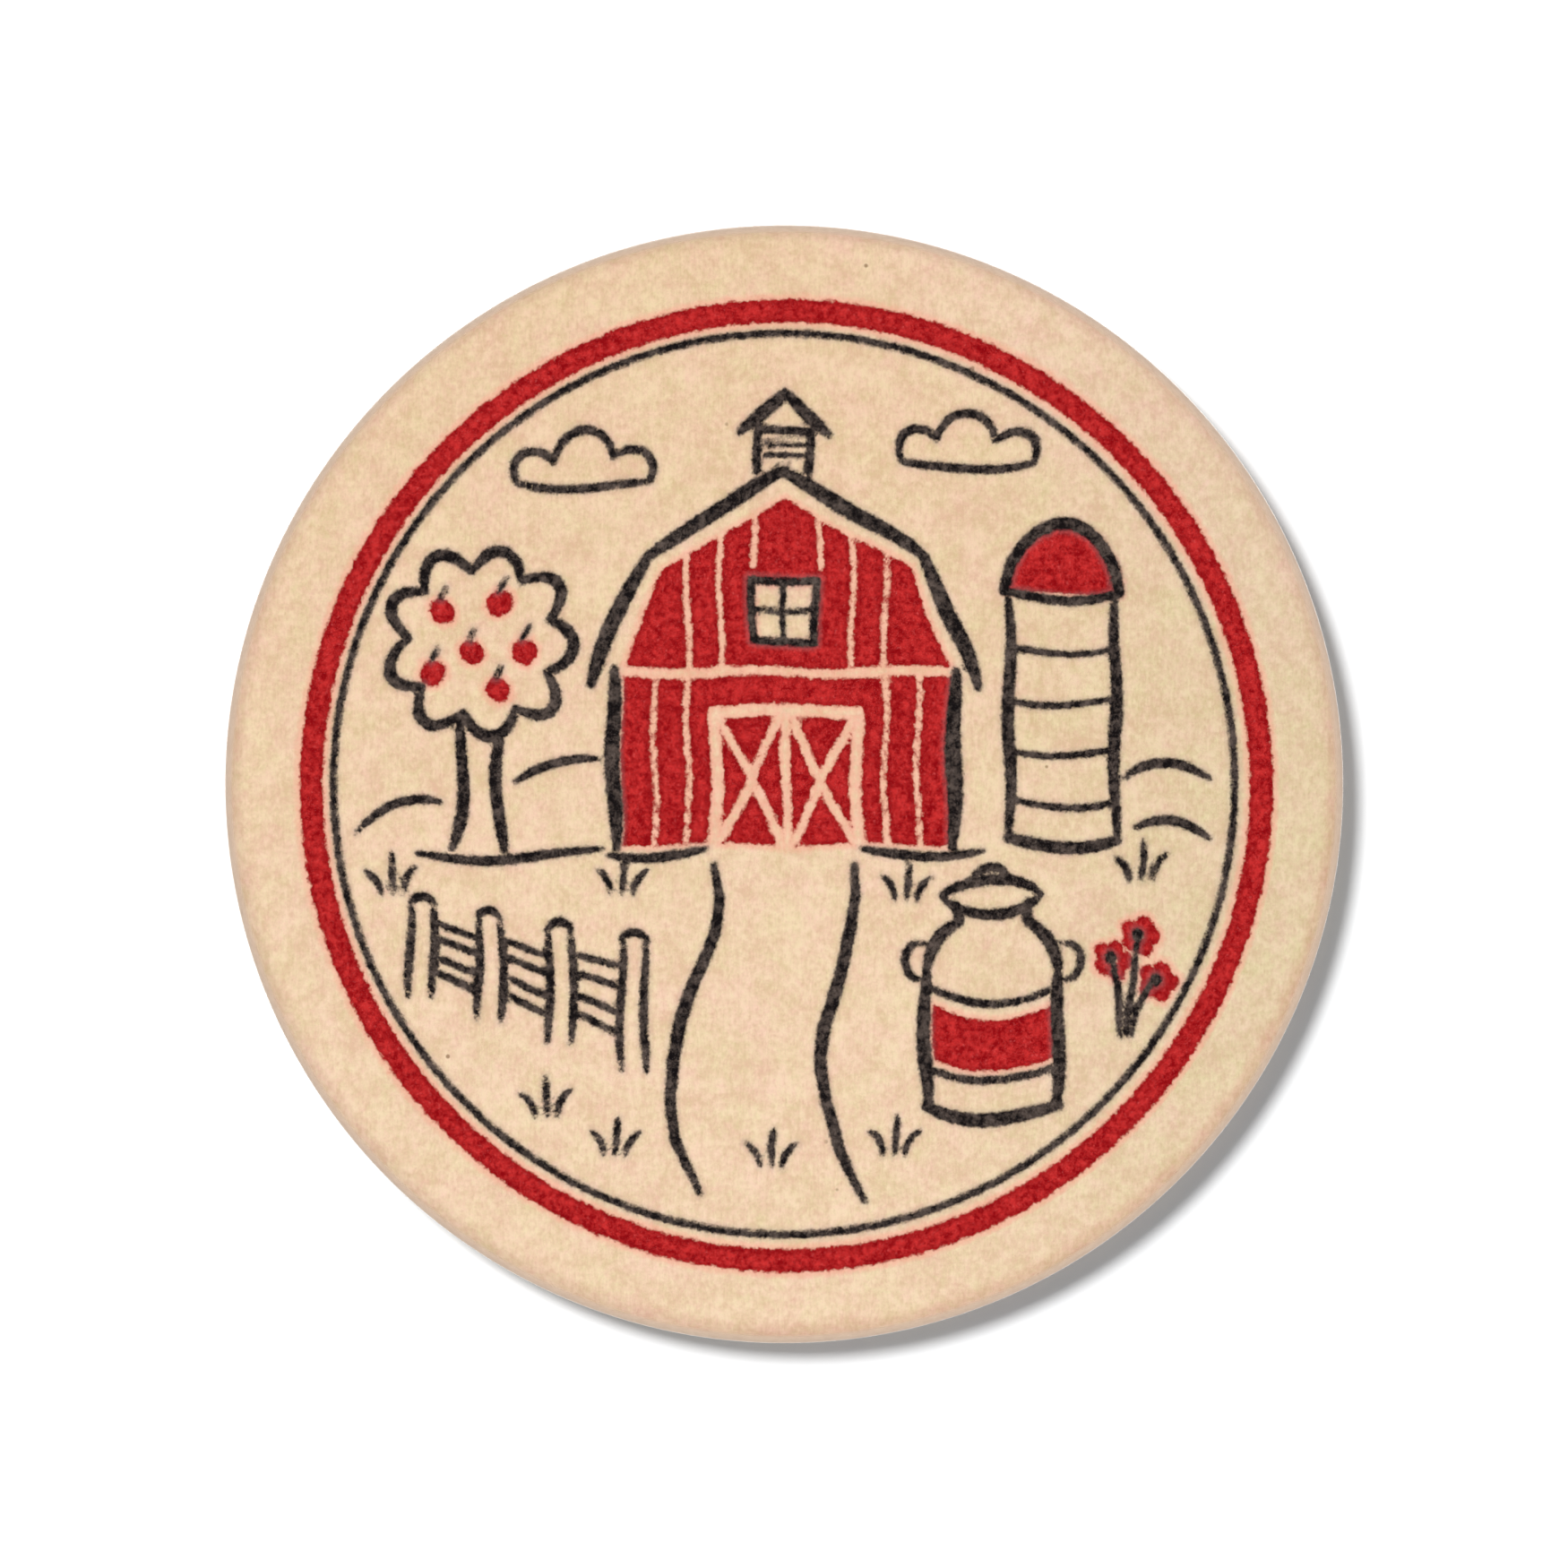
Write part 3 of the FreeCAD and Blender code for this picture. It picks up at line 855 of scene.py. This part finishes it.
upper = bezier([(CHURN - 3.1, -11.2), (CHURN, -12.6), (CHURN + 3.1, -11.2)], np.linspace(0, 1, 9))
lower = bezier([(CHURN + 3.1, -13.9), (CHURN, -15.3), (CHURN - 3.1, -13.9)], np.linspace(0, 1, 9))
red.area([tuple(point) for point in np.vstack([upper, lower])])

for foot, head in ((17.2, (16.6, -8.9)), (17.5, (18.1, -7.6)), (17.8, (18.9, -9.9))):
    black.brush([(foot, -12.8), (foot, -11.0), head], 0.42)
    black.disc(head, 0.34)
    for turn in np.linspace(0, 2 * np.pi, 6)[:-1]:
        red.disc((head[0] + 0.62 * np.cos(turn), head[1] + 0.62 * np.sin(turn)), 0.46)

CLOUD = [
    [(-3.4, 0.0), (-4.2, 1.6), (-2.4, 2.2), (-1.6, 1.1)],
    [(-1.6, 1.1), (-1.4, 3.1), (1.2, 3.1), (1.5, 1.2)],
    [(1.5, 1.2), (2.5, 2.1), (4.2, 1.5), (3.4, 0.0)],
    [(-3.4, 0.0), (-1.0, -0.5), (1.0, -0.4), (3.4, 0.0)],
]
for across, up in ((-10.2, 15.4), (9.4, 16.4)):
    for bend in CLOUD:
        black.brush([(across + point[0], up + point[1]) for point in bend], 0.5, thin=0.7)

RED_HOOP = 24.25
BLACK_HOOP = 23.0
red.hoop(ruled - np.array(RED_OFF_REGISTER), RED_HOOP, 1.2)
black.hoop(ruled, BLACK_HOOP, 0.42)
for plate_name, plate in (("red", red), ("black", black)):
    print(plate_name, "covers", round(float((plate.distance < 0).mean()), 3), "of the points")

# %% [markdown]
# ### The paper's finish
# Aged stock isn't one colour: it drifts over the face, pulp makes soft light and dark patches, some pinker
# and some greener, the making leaves a faint upright grain, and there are specks of bark. The rim is
# darkened with painted shade for its rolled edge, in patches all round and most of all at its lower right.
# The inks sit on it: red is uneven, darker where the plate squeezed it out along an edge, and bleeds pink
# into the paper round it. Black is denser, with dry spots.

# %% Paper and inks
RIGHT_TINT = (0.9, 0.96, 0.925, 1)
TOP_TINT = (0.955, 0.93, 0.89, 1)
CORNER_TINT = (1.04, 1.02, 1.1, 1)
RIM_SHADE_TINT = (0.91, 0.875, 0.895, 1)
LOW_RIM_SHADE_TINT = (0.98, 0.925, 0.91, 1)
RIM_START = 27.4
RIM_END = 28.15
LOW_RIM_START = 27.45
LOW_RIM_END = 27.95
RIM_LEAN = 0.005


def pulp(finish, place):
    """The bare paper's colour."""
    cloud = finish.noise(place, 0.8, 2.0, 0.6)
    fleck = finish.noise(place, 3.2, 3.0, 0.85)
    grain = finish.noise(finish.place((8, 1, 1.6)), 1.0, 3.0, 0.7)
    tone = 0.5 + cloud.swing(1.6) + fleck.swing(2.4) + grain.swing(1.4)
    wide_tint = finish.noise(place, 0.5, 2.0, 0.6, 0.3)
    fine_tint = finish.noise(place, 2.3, 3.0, 0.8, 0.3)
    tint = 0.5 + wide_tint.swing(1.5) + fine_tint.swing(1.7)
    light = finish.mix(tint, colour(254, 220, 196), colour(249, 229, 190))
    dark = finish.mix(tint, colour(236, 196, 170), colour(229, 206, 163))
    cream = finish.mix(tone, dark, light)
    across = finish.part(place, "X")
    up = finish.part(place, "Z")
    reach = finish.reach() - up * RIM_LEAN
    rim = reach.rise(RIM_START, RIM_END)
    cream = finish.mix(across.rise(2, 30) * (1 - rim * 0.5), cream, RIGHT_TINT, "MULTIPLY")
    cream = finish.mix(up.rise(-24, 30), cream, TOP_TINT, "MULTIPLY")
    cream = finish.mix((across + up).rise(26, 36), cream, CORNER_TINT, "MULTIPLY")
    # Painted shade of the rolled edge: the rim darkened in patches, all round.
    painted_rim_shade = rim * (0.45 + 0.9 * finish.noise(place, 0.35, 3.0, 0.6))
    cream = finish.mix(painted_rim_shade, cream, RIM_SHADE_TINT, "MULTIPLY")
    # Painted shade: the rim darker still towards the lower right.
    low_rim_shade = reach.rise(LOW_RIM_START, LOW_RIM_END) * (across - up).rise(10, 40)
    cream = finish.mix(low_rim_shade, cream, LOW_RIM_SHADE_TINT, "MULTIPLY")
    spot = finish.node("ShaderNodeTexVoronoi", None, {"Vector": place, "Scale": 0.3, "Randomness": 1.0})
    speck = spot.fall(0.02, 0.045) * finish.noise(place, 0.21, 1.0).rise(0.48, 0.58)
    cream = finish.mix(speck * 0.75, cream, colour(140, 108, 74))
    stain = finish.noise(place, 0.13, 5.0, 0.7, 0.6).rise(0.62, 0.78)
    cream = finish.mix(stain * 0.3, cream, colour(208, 172, 128))
    # Painted shade: the paper darkens in the folds between the puckers, by their depth.
    fold_shade = finish.stored("fold_shade")
    return finish.mix(fold_shade.rise(0.25, 0.95) * 0.6, cream, colour(124, 92, 60))


def red_ink(finish, place, paper):
    distance = finish.stored("red_plate")
    rough = finish.noise(place, 2.4, 3.0, 0.6).swing(0.4) + finish.noise(place, 8.0, 2.0).swing(0.2)
    edge = distance + rough
    paper = finish.mix(edge.fall(0.0, 0.45) * 0.6, paper, colour(249, 168, 148))
    mottle = 0.5 + finish.noise(place, 2.6, 4.0, 0.85).swing(4.6)
    ink = finish.mix(mottle, colour(146, 10, 18), colour(207, 50, 50))
    ink = finish.mix(finish.noise(place, 4.4, 3.0, 0.7).rise(0.58, 0.72) * 0.4, ink, colour(226, 96, 96))
    ink = finish.mix(edge.rise(-0.36, -0.08) * 0.45, ink, colour(132, 8, 16))
    return finish.mix(edge.fall(-0.08, 0.09), paper, ink)


def black_ink(finish, place, paper):
    distance = finish.stored("black_plate")
    rough = finish.noise(place, 2.8, 3.0, 0.6).swing(0.22) + finish.noise(place, 9.0, 2.0).swing(0.16)
    edge = distance + rough
    dry = 0.3 + finish.noise(place, 1.8, 4.0, 0.8).swing(4.4)
    ink = finish.mix(dry, colour(24, 20, 21), colour(98, 86, 80))
    paper = finish.mix(edge.fall(0.0, 0.32) * 0.22, paper, colour(150, 130, 130))
    return finish.mix(edge.fall(-0.09, 0.09), paper, ink)


def paper_finish():
    finish = Finish(bpy.data.materials.new("aged_printed_paper"))
    place = finish.place()
    shown = black_ink(finish, place, red_ink(finish, place, pulp(finish, place)))
    relief = finish.bump(finish.noise(place, 6.0, 4.0, 0.7), 0.25, 0.03 * MM)
    inputs = {"Base Color": shown, "Roughness": 0.85, "Specular IOR Level": 0.0, "Normal": relief}
    return finish.surface(finish.node("ShaderNodeBsdfPrincipled", None, inputs))


# %% Printed paper, put together
NO_INK_NEAR = 9.0


def store_plate(mesh, name, plate):
    """Keeps a plate's distances on the paper's points."""
    distances = np.full(len(mesh.vertices), NO_INK_NEAR)
    distances[front_points] = plate.distance
    mesh.attributes.new(name, "FLOAT", "POINT").data.foreach_set("value", distances.astype(np.float32))


paper = make_piece("paper_disc", paper_shape, paper_finish(), "printed_paper")
store_plate(paper.data, "red_plate", red)
store_plate(paper.data, "black_plate", black)
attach(paper, "badge")

# %% [markdown]
# ## Tin shell and collet
# Both are bare tinplate, a dull silver with the straight grain of the rolling mill, and where the tin has
# thinned it goes grey-brown in soft patches. The shell is stamped from sheet. The collet is rolled from
# strip, so its grain runs round it: there the pattern is fine along the distance from the axis instead of
# across the sheet.

# %% Tinplate
MOUTH = 25.0
FINE_GRAIN = 9.0
GRAIN_SHADE = 0.69


def tin_finish(name, bright, dullness, age, turned):
    """Tinned sheet, its grain straight or turned round the axis, with grime towards the collet's mouth."""
    finish = Finish(bpy.data.materials.new(name))
    place = finish.place()
    reach = finish.reach()
    if turned:
        across = finish.node("ShaderNodeCombineXYZ", None, {0: reach * FINE_GRAIN})
        along = finish.place((0.2, 0.2, 0.2))
        grain_place = finish.node("ShaderNodeVectorMath", {"operation": "ADD"}, {0: across, 1: along})
    else:
        grain_place = finish.place((0.35, 0.35, FINE_GRAIN))
    grain = finish.noise(grain_place, 1.0, 4.0, 0.7)
    tarnish = finish.noise(place, 0.4, 6.0, 0.7).rise(0.5, 0.72)
    grime = reach.rise(MOUTH - 5, MOUTH + 1) * finish.noise(place, 0.8, 4.0, 0.7).rise(0.3, 0.7)
    freckle = finish.noise(place, 1.6, 3.0, 0.6).rise(0.62, 0.74) * tarnish
    shade = (*[GRAIN_SHADE * part for part in bright[:3]], 1)
    shown = finish.mix(0.5 + grain.swing(2.5), shade, bright)
    shown = finish.mix(tarnish * age, shown, colour(128, 120, 108))
    shown = finish.mix(grime * age, shown, colour(104, 92, 76))
    shown = finish.mix(freckle * 0.7, shown, colour(96, 72, 50))
    roughness = dullness + tarnish * age * 0.5 + grain.swing(0.3)
    inputs = {"Base Color": shown, "Metallic": 1.0, "Roughness": roughness}
    inputs["Normal"] = finish.bump(grain, 0.15, 0.02 * MM)
    return finish.surface(finish.node("ShaderNodeBsdfPrincipled", None, inputs))


shell_grey = colour(176, 174, 169)
shell_tin = tin_finish("shell_tinplate", shell_grey, dullness=0.42, age=0.3, turned=False)
shell = make_piece("tin_shell", smooth(pressed_shell()), shell_tin, "front_shell")
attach(shell, "badge")

# %% Collet
COLLET_RADIUS = collet_high.x
COLLET_HEIGHT = -collet_low.y
COLLET_BEND = 0.45 * MM
BACK_FLANGE = 2.45 * MM
FRONT_FLANGE = 1.5 * MM
COLLET_TURN_STEPS = 320


def channel():
    """The collet's section: back flange, wall and front flange, with rounded strip edges."""
    half = SHEET_THICKNESS / 2
    inner_bend = COLLET_RADIUS - COLLET_BEND
    front = -COLLET_HEIGHT
    section = Section(COLLET_RADIUS - BACK_FLANGE, 0)
    section.run(inner_bend, 0)
    section.arc((inner_bend, -COLLET_BEND), -90, EDGE_STEPS)
    section.run(COLLET_RADIUS, front + COLLET_BEND)
    section.arc((inner_bend, front + COLLET_BEND), -90, EDGE_STEPS)
    section.run(COLLET_RADIUS - FRONT_FLANGE, front)
    section.arc((COLLET_RADIUS - FRONT_FLANGE, front + half), -180, EDGE_STEPS)
    section.run(inner_bend, front + SHEET_THICKNESS)
    section.arc((inner_bend, front + COLLET_BEND), 90, EDGE_STEPS)
    section.run(COLLET_RADIUS - SHEET_THICKNESS, -COLLET_BEND)
    section.arc((inner_bend, -COLLET_BEND), 90, EDGE_STEPS)
    section.run(COLLET_RADIUS - BACK_FLANGE, -SHEET_THICKNESS)
    section.arc((COLLET_RADIUS - BACK_FLANGE, -half), -180, EDGE_STEPS - 1)
    section.close()
    return section.lathe(COLLET_TURN_STEPS)


collet_grey = colour(216, 215, 211)
collet_tin = tin_finish("collet_tinplate", collet_grey, dullness=0.26, age=0.14, turned=True)
collet = make_piece("collet_ring", smooth(channel()), collet_tin, "back_collet")
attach(collet, "badge")

# %% [markdown]
# ## The spring wire
# One wire on the real badge: an open ring that lies in the collet's channel, a bend, and the straight run
# that is the pin. The ring turns as a whole, and the pin flexes from the bend. So the wire is made as two
# tubes that meet face to face, with sharp edges there so that no shading gives the cut away. The second is
# blended across the joint, which bends it in a curve as spring wire bends.

# %% Wire
WIRE_RADIUS = (ring_high.y - ring_low.y) / 2
WIRE_DEPTH = (ring_high.y + ring_low.y) / 2
RING_RADIUS = ring_high.x - WIRE_RADIUS
BEND_RADIUS = 2.0 * MM
STUB = 0.1 * MM
FREE_END_DROP = 11.5 * MM
POINT_LENGTH = 4.0 * MM
POINT_RADIUS = 0.05 * MM
FLEX_LENGTH = 4.0 * MM
WIRE_SIDES = 24
BEND_STEPS = 16
RING_STEPS = 180

bend_x = -math.sqrt((RING_RADIUS - BEND_RADIUS) ** 2 - BEND_RADIUS**2)
bend_turn = math.pi / 2 + math.atan2(BEND_RADIUS, -bend_x)
ring_turn = 2 * math.pi - math.asin(FREE_END_DROP / RING_RADIUS) - math.atan2(BEND_RADIUS, -bend_x)
JOIN = Vector((bend_x + STUB, WIRE_DEPTH, 0))
print("the ring takes", round(math.degrees(ring_turn), 1), "degrees of the channel")


def wire_start():
    """A circle of the wire's size where ring and pin meet."""
    shape = bmesh.new()
    upright = Matrix.Translation(JOIN) @ Matrix.Rotation(math.radians(90), 4, "Y")
    bmesh.ops.create_circle(shape, segments=WIRE_SIDES, radius=WIRE_RADIUS, matrix=upright)
    return shape


def draw_out(shape, edges, step):
    """Extrudes the wire's open end, and returns the new end."""
    made = bmesh.ops.extrude_edge_only(shape, edges=edges)["geom"]
    ends = [item for item in made if isinstance(item, bmesh.types.BMVert)]
    bmesh.ops.translate(shape, verts=ends, vec=step)
    edges = [item for item in made if isinstance(item, bmesh.types.BMEdge)]
    return [edge for edge in edges if all(vert in ends for vert in edge.verts)]


def bend_round(shape, edges, centre, angle, steps):
    """Spins the wire's open end round a centre, and returns the new end."""
    verts = list({vert for edge in edges for vert in edge.verts})
    turn = {"cent": centre, "axis": (0, 1, 0), "angle": angle, "steps": steps}
    made = bmesh.ops.spin(shape, geom=verts + edges, **turn)["geom_last"]
    return [item for item in made if isinstance(item, bmesh.types.BMEdge)]


def close_wire(shape):
    """Smooth sides, and flat faces with sharp edges over both ends."""
    smooth(shape)
    open_edges = [edge for edge in shape.edges if edge.is_boundary]
    ends = bmesh.ops.holes_fill(shape, edges=open_edges, sides=0)["faces"]
    for face in ends:
        face.smooth = False
        for edge in face.edges:
            edge.smooth = False
    bmesh.ops.recalc_face_normals(shape, faces=shape.faces[:])
    return shape


# %% Finish of the wire
def wire_finish():
    finish = Finish(bpy.data.materials.new("drawn_spring_wire"))
    place = finish.place()
    streak = finish.noise(finish.place((0.15, 8, 8)), 1.0, 3.0, 0.7)
    dull = finish.noise(place, 0.5, 4.0, 0.6).rise(0.5, 0.75)
    shown = finish.mix(0.5 + streak.swing(2.0), colour(158, 156, 150), colour(208, 206, 201))
    shown = finish.mix(dull * 0.3, shown, colour(118, 108, 96))
    roughness = 0.27 + dull * 0.15 + streak.swing(0.15)
    inputs = {"Base Color": shown, "Metallic": 1.0, "Roughness": roughness}
    inputs["Normal"] = finish.bump(streak, 0.1, 0.01 * MM)
    return finish.surface(finish.node("ShaderNodeBsdfPrincipled", None, inputs))


wire_metal = wire_finish()

# %% Ring of the wire
ring_shape = wire_start()
free_edges = draw_out(ring_shape, ring_shape.edges[:], (-STUB, 0, 0))
bend_centre = (bend_x, WIRE_DEPTH, BEND_RADIUS)
free_edges = bend_round(ring_shape, free_edges, bend_centre, bend_turn, BEND_STEPS)
bend_round(ring_shape, free_edges, (0, WIRE_DEPTH, 0), ring_turn, RING_STEPS)
ring = make_piece("wire_ring", close_wire(ring_shape), wire_metal, "spring_ring")
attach(ring, "spring")

# %% Pin of the wire
PIN_CUTS = 80

arm_shape = wire_start()
draw_out(arm_shape, arm_shape.edges[:], (arm_high.x - POINT_LENGTH - JOIN.x, 0, 0))
along = [edge for edge in arm_shape.edges if edge.calc_length() > POINT_LENGTH]
bmesh.ops.subdivide_edges(arm_shape, edges=along, cuts=PIN_CUTS, use_grid_fill=True)
shoulder = [edge for edge in arm_shape.edges if edge.is_boundary and edge.verts[0].co.x > 0]
tip = draw_out(arm_shape, shoulder, (POINT_LENGTH, 0, 0))
tip_verts = list({vert for edge in tip for vert in edge.verts})
to_axis = Matrix.Translation((0, -WIRE_DEPTH, 0))
thin = POINT_RADIUS / WIRE_RADIUS
bmesh.ops.scale(arm_shape, vec=(1, thin, thin), space=to_axis, verts=tip_verts)
arm = make_piece("wire_pin", close_wire(arm_shape), wire_metal, "pin_arm")
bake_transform(arm, "spring", "pin", start=JOIN, end=JOIN + Vector((FLEX_LENGTH, 0, 0)))

# %% [markdown]
# ## Sizes, and the end
# The dressed badge has to keep inside the CAD box. The dressed box is printed.

# %% Sizes
low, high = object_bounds()
print("visual box, metres:", [round(size, 5) for size in high - low])
